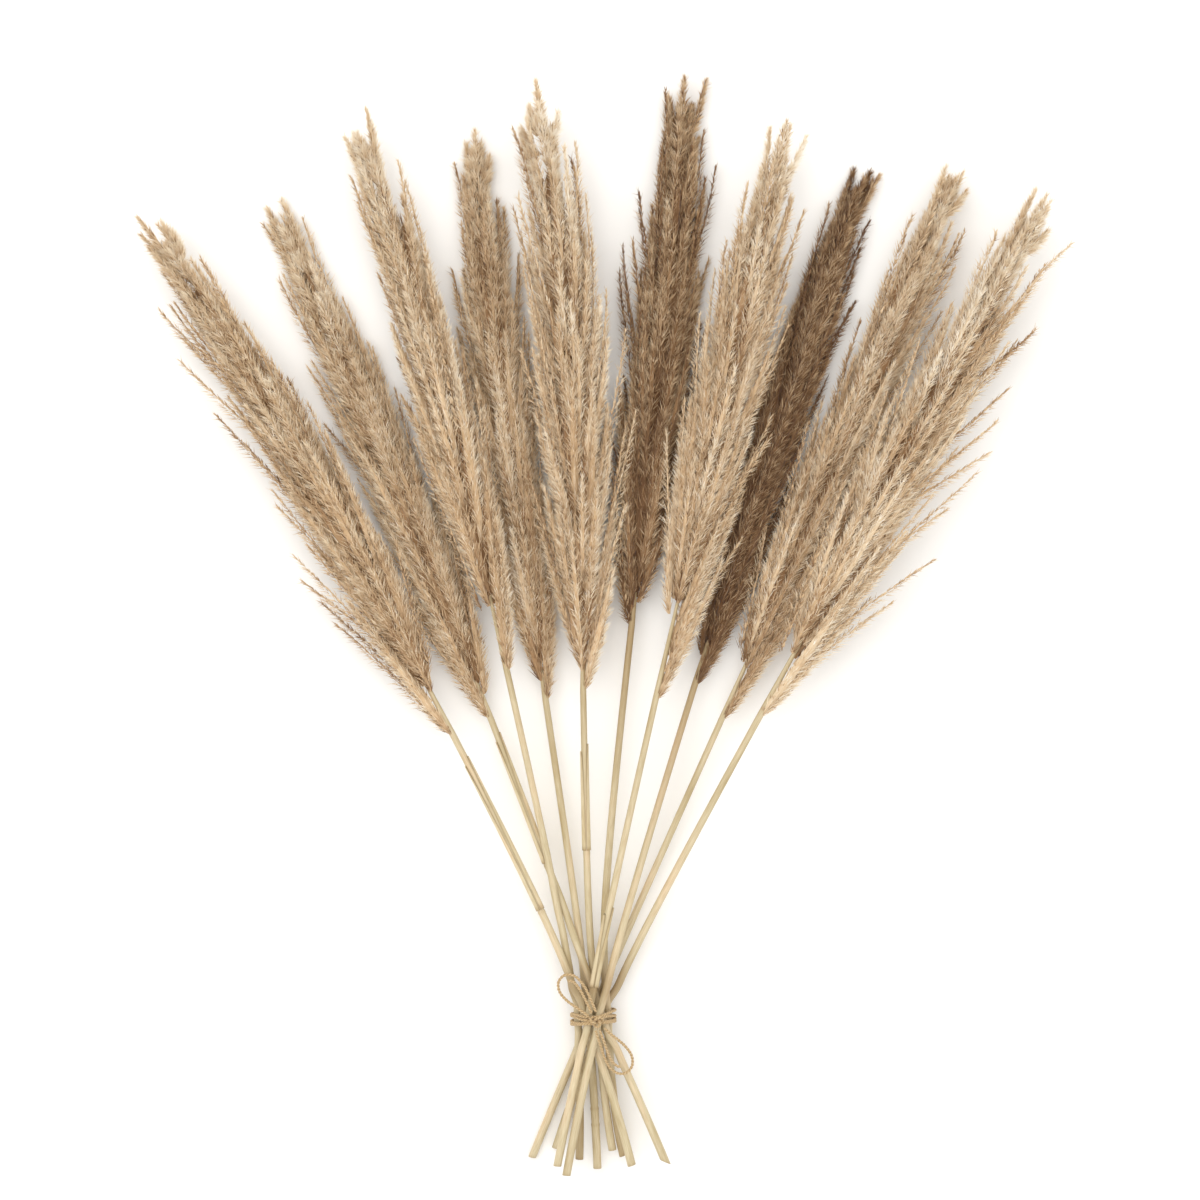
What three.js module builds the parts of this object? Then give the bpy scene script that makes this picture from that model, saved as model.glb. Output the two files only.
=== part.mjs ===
// Bundle of pampas grass: ten cut and dried stalks, tied once near their feet, lying on a flat surface.
// Millimetres. X runs across the fan, Y from the cut ends to the plume tips, Z up from the surface.
// The tie is worked out at x = 0, y = 0; the last lines move the origin under the middle of the bunch.

import * as THREE from 'three';

// Clearances
const GAP = 0.3; // between pieces that touch
const PACKING_GAP = 0.38; // between neighbouring stems in the tie
const PLUME_GAP = 1.4; // between plumes that lie on each other

// Stems
const STEM_ABOVE_TIE = 170; // from the tie to the plume
const STEM_BELOW_TIE = 78; // from the tie to the cut end
const STEM_DIAMETER = 4.5; // at the cut end
const NECK_DIAMETER = 3.5; // just below the plume
const SHEATH_WALL = 0.4; // the leaf base that wraps a stem
const SHEATH_OPENING = 0.35; // half the angle of its slit, in radians
const MOUTH_SLANT = 2.2; // how far one side of a sheath's mouth stands above its middle

// Plumes
const PLUME_LENGTH = 290;
const PLUME_WIDTH = 34;
const PLUME_FLATNESS = 0.55; // height of a resting plume over its width
const PLUME_END_SHARE = 0.1; // width at the tip over the full width
const PLUME_BELLY = 0.75; // below 1, the widest place is nearer the base
const PLUME_FULLNESS = 0.6; // below 1, the ends are fuller
const CURL_POWER = 4; // the higher, the nearer the tip a plume bends

// Fan
const FAN_ANGLE = 28; // from the middle of the fan to its outermost stalk, in degrees

// Twine
const TWINE_DIAMETER = 1.7;
const TURNS = 4;
const KNOT_SIZE = [8, 8, 4.6];
const KNOT_X = 1.6;

// Facets
const STEM_SIDES = 8;
const PLUME_SIDES = 10;
const TWINE_SIDES = 8;
const TIE_SIDES = 20; // of the outline that the twine is wound on
const SHEATH_PARTS = 9;
const KNOT_SIDES = 12;
const TIE_ROW = 8; // spacing of a stalk's rings where the stems cross
const STEM_ROW = 15; // spacing along the free stem
const PLUME_ROW = 22; // spacing along the plume
const PLUME_SHOULDER = 0.4; // where a plume has its first ring, as a share of its first spacing
const SHORTEST_ROW = 1; // a ring nearer than this to a piece's end is left out
const TWINE_ROW = 2.4; // spacing along a free strand of twine, over its diameter
const CROSSING = 48; // how far from the tie the stems still touch
const TIE_REACH = (TURNS * (TWINE_DIAMETER + GAP)) / 2 + TIE_ROW; // where the stems lie on the twine

// Settling
const ROUNDS = 1200;
const LAST_ROUNDS = 60; // that only move stalks apart
const PASSES = 5; // of moving apart in each round
const BUNDLE_SHARE = 1.75; // radius that the tie draws the stems into, over a stem and its gap
const LOOSE_HOOP = 6; // radius of the tie at the start, over its last radius
const STIFFNESS = 0.3; // share of a bend that a round takes out
const STEADINESS = 0.2; // share of the way back to its line that a round takes a ring
const SINKING = 0.004; // how far a round lets a plume down, over its height

// The ten stalks, from left to right. lean is a share of FAN_ANGLE, and aim is where the stalk's line
// passes the tie. footX is where its cut end lies, and slant how obliquely it was cut. The extras add to
// the lengths and the width above, and curl is how far the tip bends sideways. layer is the stalk's place
// in the tie and tier its plume's place in the bunch, both from the bottom. sheath gives where a leaf
// base starts and ends, as shares of the stem from the tie to the plume.
const STALKS = [
  { lean: -0.975, aim: 4, footX: 21, footExtra: 2, slant: 0.1, neckExtra: -15, headExtra: -7,
    widthExtra: 0, curl: -23, layer: 2, tier: 1, sheath: [0.39, 0.9] },
  { lean: -0.755, aim: 7, footX: 39, footExtra: 0, slant: -1.0, neckExtra: -6, headExtra: -8,
    widthExtra: -3, curl: -12, layer: 2, tier: 0, sheath: [0.52, 0.93] },
  { lean: -0.445, aim: -5, footX: -8, footExtra: 0, slant: 0, neckExtra: 20, headExtra: 15,
    widthExtra: 0, curl: -18, layer: 1, tier: 1 },
  { lean: -0.31, aim: 0, footX: 2, footExtra: 5, slant: 0, neckExtra: 4, headExtra: 26,
    widthExtra: -2, curl: 9, layer: 1, tier: 0 },
  { lean: -0.02, aim: -4, footX: 10, footExtra: -5, slant: 0, neckExtra: 10, headExtra: 40,
    widthExtra: 8, curl: -26, layer: 1, tier: 1, sheath: [0.51, 0.82] },
  { lean: 0.232, aim: -4, footX: 16, footExtra: -2, slant: 0.2, neckExtra: 45, headExtra: 10,
    widthExtra: 2, curl: -3, layer: 1, tier: 0 },
  { lean: 0.455, aim: -6, footX: -20, footExtra: 1, slant: 0.1, neckExtra: 5, headExtra: 23,
    widthExtra: 4, curl: 2, layer: 3, tier: 1, sheath: [0.1, 0.34] },
  { lean: 0.61, aim: -1, footX: -15, footExtra: 6, slant: 0.1, neckExtra: 13, headExtra: -7,
    widthExtra: -3, curl: 8, layer: 3, tier: 0 },
  { lean: 0.86, aim: -3, footX: -34, footExtra: 0, slant: 0.2, neckExtra: -6, headExtra: 18,
    widthExtra: 0, curl: -6, layer: 0, tier: 0.5 },
  { lean: 1.02, aim: 0, footX: -21, footExtra: -5, slant: 0.1, neckExtra: -4, headExtra: -9,
    widthExtra: 6, curl: 4, layer: 0, tier: 1 },
];

// Colours
const STRAW = 0xd9cba2;
const SHEATH = 0xe3d6b2;
const PLUME = 0xc8ab85;
const JUTE = 0xbd966a;

/** A value between two others. */
function mix(from, to, share) {
  return from + (to - from) * share;
}

/** Half the width of a plume, from its base (share 0) to its tip (share 1), over half its full width. */
function plumeOutline(share) {
  const swell = Math.sin(Math.PI * share ** PLUME_BELLY) ** PLUME_FULLNESS;
  return mix(PLUME_END_SHARE, 1, swell);
}

/** The lengths and the line of one stalk, worked out from its row in the table. */
function planStalk(row, index) {
  const slope = Math.tan(THREE.MathUtils.degToRad(row.lean * FAN_ANGLE));
  const footY = -(STEM_BELOW_TIE + row.footExtra);
  const neckY = STEM_ABOVE_TIE + row.neckExtra;
  const tipY = neckY + PLUME_LENGTH + row.headExtra;
  return {
    ...row,
    name: String(index + 1).padStart(2, '0'),
    slope,
    footY,
    neckY,
    tipY,
    halfWidth: (PLUME_WIDTH + row.widthExtra) / 2,
    sheath: row.sheath?.map((share) => share * neckY),
    stretch: Math.hypot(1, slope),
  };
}

/** Where a stalk's line passes, seen from above, at a distance y from the tie. */
function lineX(stalk, y) {
  if (y < 0) {
    return mix(stalk.aim, stalk.footX, y / stalk.footY);
  }
  const bend = Math.max(0, (y - stalk.neckY) / (stalk.tipY - stalk.neckY));
  return stalk.aim + stalk.slope * y + stalk.curl * bend ** CURL_POWER;
}

/** Radius of the bare stem, which narrows from its cut end to the plume. */
function stemRadius(stalk, y) {
  return mix(STEM_DIAMETER, NECK_DIAMETER, (y - stalk.footY) / (stalk.neckY - stalk.footY)) / 2;
}

/** Half width and half height of a stalk at a distance y from the tie, with its sheath or its plume. */
function halfSizes(stalk, y) {
  if (y > stalk.neckY) {
    const share = Math.min(1, (y - stalk.neckY) / (stalk.tipY - stalk.neckY));
    const half = stalk.halfWidth * plumeOutline(share);
    return [half, half * PLUME_FLATNESS];
  }
  const [from, to] = stalk.sheath ?? [0, 0];
  const margin = MOUTH_SLANT + TIE_ROW;
  const wrapped = y > from - margin && y < to + margin;
  const radius = stemRadius(stalk, y) + (wrapped ? GAP + SHEATH_WALL : 0);
  return [radius, radius];
}

/** Distances from the tie at which every stalk has a ring, closest together where the stems cross. */
function ringRows(stalks) {
  const last = Math.max(...stalks.map((stalk) => stalk.tipY));
  const first = Math.min(...stalks.map((stalk) => stalk.footY));
  const rows = [];
  let y = -CROSSING;
  while (y > first) {
    y -= STEM_ROW;
    rows.unshift(y);
  }
  for (y = -CROSSING; y < CROSSING; y += TIE_ROW) {
    rows.push(y);
  }
  for (; y < STEM_ABOVE_TIE; y += STEM_ROW) {
    rows.push(y);
  }
  for (; y < last + PLUME_ROW; y += PLUME_ROW) {
    rows.push(y);
  }
  return rows;
}

/** A stalk's rings before the bunch is let down: spread in height, so that each crossing has an order. */
function layOut(stalk, rows) {
  const tieHeight = stalk.layer * 2 * STEM_DIAMETER;
  const plumeHeight = (1 + 2 * stalk.tier) * stalk.halfWidth * PLUME_FLATNESS;
  return rows.map((y, row) => {
    const [halfX, halfZ] = halfSizes(stalk, y);
    const rise = THREE.MathUtils.smoothstep(y, 0, stalk.neckY);
    const before = rows[row - 1] ?? -Infinity;
    const after = rows[row + 1] ?? Infinity;
    return {
      y,
      x: lineX(stalk, y),
      z: mix(tieHeight, plumeHeight, rise),
      halfX: halfX * stalk.stretch,
      halfZ,
      lowest: halfZ + (Math.abs(y) < TIE_REACH ? TWINE_DIAMETER + 2 * GAP : 0),
      used: after > stalk.footY && before < stalk.tipY,
    };
  });
}

/** Draws each ring towards the line between two others, span rings away, as a stiff stem does. */
function straighten(rings, span) {
  for (let row = span; row + span < rings.length; row += 1) {
    const before = rings[row - span];
    const here = rings[row];
    const after = rings[row + span];
    if (before.used && after.used) {
      const share = (here.y - before.y) / (after.y - before.y);
      here.x += STIFFNESS * (mix(before.x, after.x, share) - here.x);
      here.z += STIFFNESS * (mix(before.z, after.z, share) - here.z);
    }
  }
}

/** Draws a stalk to its own line, except near the tie, and lets its plume sink. */
function pull(stalk) {
  for (const ring of stalk.rings) {
    const held = Math.exp(-((ring.y / CROSSING) ** 2));
    ring.x += STEADINESS * (1 - held) * (lineX(stalk, ring.y) - ring.x);
    if (ring.y > stalk.neckY) {
      ring.z -= SINKING * ring.halfZ;
    }
  }
}

/** Draws the rings in the tie halfway into a hoop of the given radius. */
function tieIn(stalks, radius) {
  const rows = stalks[0].rings.flatMap((ring, row) => (Math.abs(ring.y) <= TIE_ROW ? [row] : []));
  for (const row of rows) {
    const rings = stalks.map((stalk) => stalk.rings[row]);
    const middle = rings.reduce((sum, ring) => sum + ring.z, 0) / rings.length;
    for (const ring of rings) {
      const reach = Math.hypot(ring.x, ring.z - middle) + ring.halfZ;
      const share = Math.max(0, reach - radius) / reach / 2;
      ring.x -= share * ring.x;
      ring.z -= share * (ring.z - middle);
    }
  }
}

/**
 * Moves two stalks apart between one ring and the next, where they come closer than their sizes.
 * Distances are measured as shares of the two sizes together, so that touching is at 1. Stems move
 * straight apart. A plume that lies on another only moves up, and the other down.
 */
function separate(one, other, row) {
  const [a, b] = [one.rings[row], one.rings[row + 1]];
  const [c, d] = [other.rings[row], other.rings[row + 1]];
  if (!a.used || !b.used || !c.used || !d.used) {
    return;
  }
  const resting = a.y > one.neckY && a.y > other.neckY;
  const gap = resting ? PLUME_GAP : PACKING_GAP;
  const nearSize = new THREE.Vector2(a.halfX + c.halfX + gap, a.halfZ + c.halfZ + gap);
  const farSize = new THREE.Vector2(b.halfX + d.halfX + gap, b.halfZ + d.halfZ + gap);
  const near = new THREE.Vector2(a.x - c.x, a.z - c.z).divide(nearSize);
  const far = new THREE.Vector2(b.x - d.x, b.z - d.z).divide(farSize);
  const step = far.clone().sub(near);
  const share = THREE.MathUtils.clamp(-near.dot(step) / Math.max(step.lengthSq(), 1e-9), 0, 1);
  const closest = near.addScaledVector(step, share);
  if (closest.length() >= 1) {
    return;
  }
  const target = closest.clone().normalize();
  if (resting) {
    target.set(closest.x, Math.sign(one.tier - other.tier) * Math.sqrt(1 - closest.x ** 2));
  }
  const push = target.sub(closest).divideScalar(2 * ((1 - share) ** 2 + share ** 2));
  const nearPush = push.clone().multiply(nearSize).multiplyScalar(1 - share);
  const farPush = push.clone().multiply(farSize).multiplyScalar(share);
  for (const [ring, move, way] of [[a, nearPush, 1], [b, farPush, 1], [c, nearPush, -1], [d, farPush, -1]]) {
    ring.x += way * move.x;
    ring.z += way * move.y;
  }
}

/** Keeps every ring above the surface, and those in the tie above the twine too. */
function keepUp(stalks) {
  for (const stalk of stalks) {
    for (const ring of stalk.rings) {
      ring.z = Math.max(ring.z, ring.lowest);
    }
  }
}

/** Ties the bunch and lets it down: the hoop draws in, the stems straighten and the plumes sink. */
function settle(planned) {
  const rows = ringRows(planned);
  const stalks = planned.map((stalk) => ({ ...stalk, rings: layOut(stalk, rows) }));
  const tight = BUNDLE_SHARE * (STEM_DIAMETER + PACKING_GAP);
  for (let round = 0; round < ROUNDS; round += 1) {
    if (round < ROUNDS - LAST_ROUNDS) {
      for (const stalk of stalks) {
        [3, 2, 1].forEach((span) => straighten(stalk.rings, span));
        pull(stalk);
      }
      tieIn(stalks, Math.max(tight, mix(LOOSE_HOOP * tight, tight, (2 * round) / ROUNDS)));
    }
    for (let pass = 0; pass < PASSES; pass += 1) {
      for (let row = 0; row + 1 < rows.length; row += 1) {
        stalks.forEach((one, index) => {
          stalks.slice(index + 1).forEach((other) => separate(one, other, row));
        });
      }
      keepUp(stalks);
    }
  }
  return stalks;
}

/** The middle of a settled stalk at a distance y from the tie, in a straight line from ring to ring. */
function middleAt(stalk, y) {
  const next = Math.max(1, stalk.rings.findIndex((ring) => ring.y >= y));
  const before = stalk.rings[next - 1];
  const after = stalk.rings[next];
  const share = (y - before.y) / (after.y - before.y);
  return new THREE.Vector3(mix(before.x, after.x, share), y, mix(before.z, after.z, share));
}

/** The distances at which a piece of a stalk has rings: its two ends and the stalk's rings between them. */
function stopsBetween(stalk, from, to) {
  const rows = stalk.rings.map((ring) => ring.y);
  const inside = rows.filter((y) => y > from + SHORTEST_ROW && y < to - SHORTEST_ROW);
  return [from, ...inside, to];
}

/**
 * A section carried along a stalk. The section is extruded straight, one step for each stop, and each
 * step is then sized, turned across the stalk and moved to its stop. lean tilts the faces at the ends.
 */
function carryAlong(stalk, section, stops, sizeAt, lean = [0, 0]) {
  const last = stops.length - 1;
  const geometry = new THREE.ExtrudeGeometry(section, { depth: last, steps: last, bevelEnabled: false });
  geometry.rotateX(-Math.PI / 2);
  const position = geometry.getAttribute('position');
  const up = new THREE.Vector3(0, 0, 1);
  for (let i = 0; i < position.count; i += 1) {
    const stop = Math.round(position.getY(i));
    const y = stops[stop];
    const [halfX, halfZ] = sizeAt(y);
    const forward = middleAt(stalk, y + TIE_ROW / 2).sub(middleAt(stalk, y - TIE_ROW / 2)).normalize();
    const across = forward.clone().cross(up).normalize();
    const above = across.clone().cross(forward);
    const tilt = (stop === 0 ? lean[0] : 0) + (stop === last ? lean[1] : 0);
    const point = middleAt(stalk, y)
      .addScaledVector(across, halfX * position.getX(i))
      .addScaledVector(above, halfZ * position.getZ(i))
      .addScaledVector(forward, tilt * halfX * position.getX(i));
    position.setXYZ(i, point.x, point.y, point.z);
  }
  geometry.computeVertexNormals();
  return geometry;
}

/** A regular outline. */
function roundSection(sides, radius = 1) {
  const corners = Array.from({ length: sides }, (_, side) => {
    const angle = (2 * Math.PI * side) / sides;
    return new THREE.Vector2(radius * Math.cos(angle), radius * Math.sin(angle));
  });
  return new THREE.Shape(corners);
}

/** A split ring of outer radius 1, open on top, for a leaf base that wraps round its stem. */
function splitSection(inner) {
  const arc = (radius) => Array.from({ length: SHEATH_PARTS + 1 }, (_, part) => {
    const angle = mix(SHEATH_OPENING, 2 * Math.PI - SHEATH_OPENING, part / SHEATH_PARTS) - Math.PI / 2;
    return new THREE.Vector2(radius * Math.cos(angle), radius * Math.sin(angle));
  });
  return new THREE.Shape([...arc(1), ...arc(inner).reverse()]);
}

/** A named mesh with its own plain material. */
function piece(name, geometry, color, roughness) {
  const mesh = new THREE.Mesh(geometry, new THREE.MeshStandardMaterial({ color, roughness, metalness: 0 }));
  mesh.name = name;
  return mesh;
}

/** The stem: round, narrowing from its cut end to just short of the plume. */
function makeStem(stalk) {
  const stops = stopsBetween(stalk, stalk.footY, stalk.neckY - GAP / 2);
  const sizeAt = (y) => [stemRadius(stalk, y), stemRadius(stalk, y)];
  const geometry = carryAlong(stalk, roundSection(STEM_SIDES), stops, sizeAt, [stalk.slant, 0]);
  return piece(`stem_${stalk.name}`, geometry, STRAW, 0.55);
}

/** The leaf base round a stem: a split sleeve with an oblique mouth. */
function makeSheath(stalk) {
  const [from, to] = stalk.sheath;
  const flat = Math.cos((Math.PI - SHEATH_OPENING) / SHEATH_PARTS); // of a facet's middle over its corners
  const innerAt = (y) => (stemRadius(stalk, y) + GAP) / flat;
  const sizeAt = (y) => [innerAt(y) + SHEATH_WALL, innerAt(y) + SHEATH_WALL];
  const section = splitSection(innerAt(from) / (innerAt(from) + SHEATH_WALL));
  const geometry = carryAlong(stalk, section, stopsBetween(stalk, from, to), sizeAt, [0, MOUTH_SLANT / 2]);
  return piece(`leaf_sheath_${stalk.name}`, geometry, SHEATH, 0.6);
}

/** The plume: the body of the flower head under its loose hairs, flattened where it lies. */
function makePlume(stalk) {
  const from = stalk.neckY + GAP / 2;
  const [, second, ...others] = stopsBetween(stalk, from, stalk.tipY);
  const stops = [from, mix(from, second, PLUME_SHOULDER), second, ...others];
  const sizeAt = (y) => halfSizes(stalk, Math.max(y, from));
  const geometry = carryAlong(stalk, roundSection(PLUME_SIDES), stops, sizeAt);
  return piece(`plume_${stalk.name}`, geometry, PLUME, 0.95);
}

/**
 * The outline round the tied stems: for each direction, how far the stems reach within the tie, and the
 * corners where neighbouring lines of reach meet.
 */
function tieOutline(stalks, halfHeight, offset) {
  const centre = stalks.reduce((sum, stalk) => sum.add(middleAt(stalk, 0)), new THREE.Vector3());
  centre.divideScalar(stalks.length);
  const lines = Array.from({ length: TIE_SIDES }, (_, side) => {
    const angle = Math.PI / 2 + (2 * Math.PI * side) / TIE_SIDES;
    const reach = Math.max(...stalks.flatMap((stalk) => [-halfHeight, 0, halfHeight].map((y) => {
      const middle = middleAt(stalk, y).sub(centre);
      const radius = stemRadius(stalk, y) * stalk.stretch;
      return middle.x * Math.cos(angle) + middle.z * Math.sin(angle) + radius;
    })));
    return { angle, reach: reach + offset };
  });
  return lines.map((line, side) => {
    const next = lines[(side + 1) % TIE_SIDES];
    const turn = (2 * Math.PI) / TIE_SIDES;
    const slide = (next.reach - line.reach * Math.cos(turn)) / Math.sin(turn);
    return new THREE.Vector3(
      centre.x + line.reach * Math.cos(line.angle) - slide * Math.sin(line.angle),
      0,
      centre.z + line.reach * Math.sin(line.angle) + slide * Math.cos(line.angle),
    );
  });
}

/** A length of twine through the given points. */
function twineAlong(points, steps) {
  const extrudePath = new THREE.CatmullRomCurve3(points, false, 'centripetal');
  return new THREE.ExtrudeGeometry(roundSection(TWINE_SIDES, TWINE_DIAMETER / 2), { steps, extrudePath });
}

/** The wrapping: twine wound round the stems, from the top of the bundle back to its top. */
function makeWrap(stalks) {
  const pitch = TWINE_DIAMETER + GAP;
  const halfHeight = (TURNS * pitch) / 2;
  const outline = tieOutline(stalks, halfHeight + TWINE_DIAMETER / 2, TWINE_DIAMETER / 2 + GAP);
  const points = Array.from({ length: TURNS * outline.length + 1 }, (_, i) => {
    const corner = outline[i % outline.length];
    return new THREE.Vector3(corner.x, (i / outline.length) * pitch - halfHeight, corner.z);
  });
  return piece('twine_wrap', twineAlong(points, TURNS * TIE_SIDES), JUTE, 0.9);
}

/** The knot, a flattened lump on top of the wrapping. */
function makeKnot(wrap) {
  wrap.geometry.computeBoundingBox();
  const knot = piece('twine_knot', new THREE.SphereGeometry(0.5, KNOT_SIDES, KNOT_SIDES / 2), JUTE, 0.9);
  knot.scale.set(...KNOT_SIZE);
  knot.position.set(KNOT_X, 0, wrap.geometry.boundingBox.max.z + GAP + KNOT_SIZE[2] / 2);
  return knot;
}

/** A bow loop or a loose end, through points measured from the middle of the knot. */
function makeStrand(name, knot, route) {
  const points = route.map((point) => new THREE.Vector3(...point).add(knot.position));
  const length = new THREE.CatmullRomCurve3(points, false, 'centripetal').getLength();
  return piece(name, twineAlong(points, Math.ceil(length / (TWINE_ROW * TWINE_DIAMETER))), JUTE, 0.9);
}

const LOOP_LEFT = [
  [-0.5, 5.0, 0.2], [-3.6, 12.3, -0.4], [-7.2, 19.2, -1.6], [-12.2, 24.2, -3], [-17.4, 24.6, -4],
  [-20.8, 20.8, -4.6], [-20.3, 15.6, -4.4], [-16.4, 10.9, -3.4], [-10.8, 7.0, -2], [-6.6, 4.2, -0.8],
  [-4.4, 2.4, -0.2],
];
const LOOP_RIGHT = [
  [-0.8, -4.9, 0.2], [0.8, -9.4, -0.2], [2.8, -15.8, -1.4], [4.4, -20.6, -2.4], [7.0, -25.4, -3.2],
  [11.2, -28.7, -3.8], [15.8, -28.6, -4.2], [19.1, -25.0, -4.4], [19.0, -19.5, -4.2],
  [15.6, -14.2, -3.4], [10.6, -9.6, -2.2], [6.6, -6.2, -0.9], [4.1, -3.6, -0.2],
];
const END_LEFT = [
  [-2.8, 4.2, 0.3], [-5.8, 10.8, -0.2], [-9.2, 17.0, -1.2], [-12.6, 21.0, -2.2], [-15.8, 21.6, -2.8],
];
const END_RIGHT = [
  [1.5, -4.7, 0.3], [3.4, -9.8, -0.1], [5.4, -15.6, -1.1], [7.2, -20.2, -2], [9.8, -23.8, -2.8],
  [13.0, -25.4, -3.4],
];

/** The whole bunch, with its origin on the surface under the middle of its outline. */
function makeBunch() {
  const stalks = settle(STALKS.map(planStalk));
  const bunch = new THREE.Group();
  for (const stalk of stalks) {
    bunch.add(makeStem(stalk), makePlume(stalk));
    if (stalk.sheath) {
      bunch.add(makeSheath(stalk));
    }
  }
  const wrap = makeWrap(stalks);
  const knot = makeKnot(wrap);
  bunch.add(wrap, knot);
  bunch.add(makeStrand('twine_loop_left', knot, LOOP_LEFT));
  bunch.add(makeStrand('twine_loop_right', knot, LOOP_RIGHT));
  bunch.add(makeStrand('twine_end_left', knot, END_LEFT));
  bunch.add(makeStrand('twine_end_right', knot, END_RIGHT));
  const box = new THREE.Box3().setFromObject(bunch, true);
  bunch.position.set(-(box.min.x + box.max.x) / 2, -(box.min.y + box.max.y) / 2, -box.min.z);
  return new THREE.Group().add(bunch);
}

export default makeBunch();
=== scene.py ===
"""Bundle of pampas grass: ten dried stalks with feathery plumes, tied with jute twine and laid on a floor.

Metres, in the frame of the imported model: X runs across the fan, Y from the cut ends to the plume tips and
Z up. Sizes below are in millimetres and are multiplied by MM where they are used.
"""

import math

import bpy
import numpy as np
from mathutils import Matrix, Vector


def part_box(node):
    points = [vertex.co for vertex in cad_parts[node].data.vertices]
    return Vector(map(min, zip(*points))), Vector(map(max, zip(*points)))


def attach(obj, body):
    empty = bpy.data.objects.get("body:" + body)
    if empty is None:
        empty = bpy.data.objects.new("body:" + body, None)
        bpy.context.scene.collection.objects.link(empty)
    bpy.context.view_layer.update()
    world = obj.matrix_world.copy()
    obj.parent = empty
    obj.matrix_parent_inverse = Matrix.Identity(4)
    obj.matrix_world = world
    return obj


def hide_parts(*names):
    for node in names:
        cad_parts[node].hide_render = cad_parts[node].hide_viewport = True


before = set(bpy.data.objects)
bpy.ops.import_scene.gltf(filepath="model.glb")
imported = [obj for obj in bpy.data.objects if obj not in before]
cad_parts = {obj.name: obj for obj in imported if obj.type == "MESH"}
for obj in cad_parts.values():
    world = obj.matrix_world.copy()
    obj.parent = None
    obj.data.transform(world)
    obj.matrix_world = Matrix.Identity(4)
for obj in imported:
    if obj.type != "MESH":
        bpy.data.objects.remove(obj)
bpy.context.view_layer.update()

MM = 0.001
FLOOR_GAP = 0.3 * MM  # the least height of a flower head or the wrapping over the floor
GOLDEN_ANGLE = math.pi * (3 - math.sqrt(5))
UP = np.array([0.0, 0.0, 1.0])

# Facets of the modelled solids, whose rings are read back
STEM_SIDES = 8
PLUME_SIDES = 10
WRAP_SIDES = 20

# Camera: straight down on the middle of the fan
LENS = 100.0  # mm
SENSOR = 36.0  # mm
VIEW_WIDTH = 0.6545
VIEW_CENTRE = (0.0024, 0.0132)
VIEW_HEIGHT = 0.02  # the level at which the view is VIEW_WIDTH wide

# Twine
TWINE_DIAMETER = 1.7
TURNS = 4
PLY_TWIST = 3.6  # length over which the two plies go once round each other
PLY_RADIUS = 0.66  # of one ply, over the twine's radius
PLY_APART = 0.34  # from the twine's middle to a ply's, over the twine's radius
TWINE_COLUMNS = 16
# The low twine tone is painted shade in the grooves between the plies
TWINE_TONES = (0.3, 0.64)  # in the grooves and on the plies
TURN_POINTS = 30  # along each turn of the wrapping
WRAP_WANDER = 0.75  # how far a turn strays from its even place
WRAP_PINCH = 0.45  # share of the wrapping's height that the knot draws in

# The bow, from the middle of the knot, in millimetres
LOOP_LEFT = [
    (-0.5, 5.0, 0.2), (-3.6, 12.3, -0.4), (-7.2, 19.2, -1.6), (-12.2, 24.2, -3), (-17.4, 24.6, -4),
    (-20.8, 20.8, -4.6), (-20.3, 15.6, -4.4), (-16.4, 10.9, -3.4), (-10.8, 7.0, -2), (-6.6, 4.2, -0.8),
    (-4.4, 2.4, -0.2),
]
LOOP_RIGHT = [
    (-0.8, -4.9, 0.2), (0.8, -9.4, -0.2), (2.8, -15.8, -1.4), (4.4, -20.6, -2.4), (7.0, -25.4, -3.2),
    (11.2, -28.7, -3.8), (15.8, -28.6, -4.2), (19.1, -25.0, -4.4), (19.0, -19.5, -4.2),
    (15.6, -14.2, -3.4), (10.6, -9.6, -2.2), (6.6, -6.2, -0.9), (4.1, -3.6, -0.2),
]
END_LEFT = [
    (-2.8, 4.2, 0.3), (-5.8, 10.8, -0.2), (-9.2, 17.0, -1.2), (-12.6, 21.0, -2.2), (-15.8, 21.6, -2.8),
]
END_RIGHT = [
    (1.5, -4.7, 0.3), (3.4, -9.8, -0.1), (5.4, -15.6, -1.1), (7.2, -20.2, -2), (9.8, -23.8, -2.8),
    (13.0, -25.4, -3.4),
]

# Flower heads: the branches of their body. A pair is the least and the most, if it isn't said to be otherwise
TIP_SHARE = 0.5  # least half sizes past the middle, over the largest
BRANCH_STEPS = 11  # points along a branch
BODY_SIDES = 5
BRANCHES = 92  # side branches in the body of a flower head
BRANCH_LENGTH = (80, 38)  # at the base and near the tip
BRANCH_RADIUS = (1.9, 3.4)
BRANCH_OVERHANG = 22  # how far below its place on the spiral a branch is rooted
BRANCH_REACH = (0.74, 1.02)  # over the plume's half sizes
SIDE_REACH = 0.18  # how much further a branch at the sides may reach, over its reach
BRANCH_TONE = 0.53
LAST_ROOT = 30  # least distance of a root from the tip
TIP_ROOTS = 0.72  # share of the plume past which every third branch keeps to the middle
TIP_REACH = 0.3  # of those, over the plume's half sizes
TIP_SPREAD = 34  # a branch that would pass the tip ends within this length of it
SHORTEST = 16  # least length of a branch
HAIRS = 350  # on each branch
HAIR_LENGTH = (4.2, 7.4)
HAIR_WIDTH = (0.38, 0.62)
HAIR_FLARE = 0.72  # how far a hair leans off its branch, over its length
HAIR_WILDNESS = 0.14  # how far its direction strays at random, over its length
CLUMP_LENGTH = 8.0
CLUMP_CONTRAST = 0.34  # tone at a clump's end over that at its start
# The brown husks sit on the sides of the branches: partly dark glumes and partly painted shade in the clefts
# between them
SPECKS = 18  # brown husks on each branch
SPECK_LENGTH = (1.8, 4.2)
SPECK_WIDTH = (0.6, 1.1)
SPECK_TONE = -0.42  # against the branch's
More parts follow.
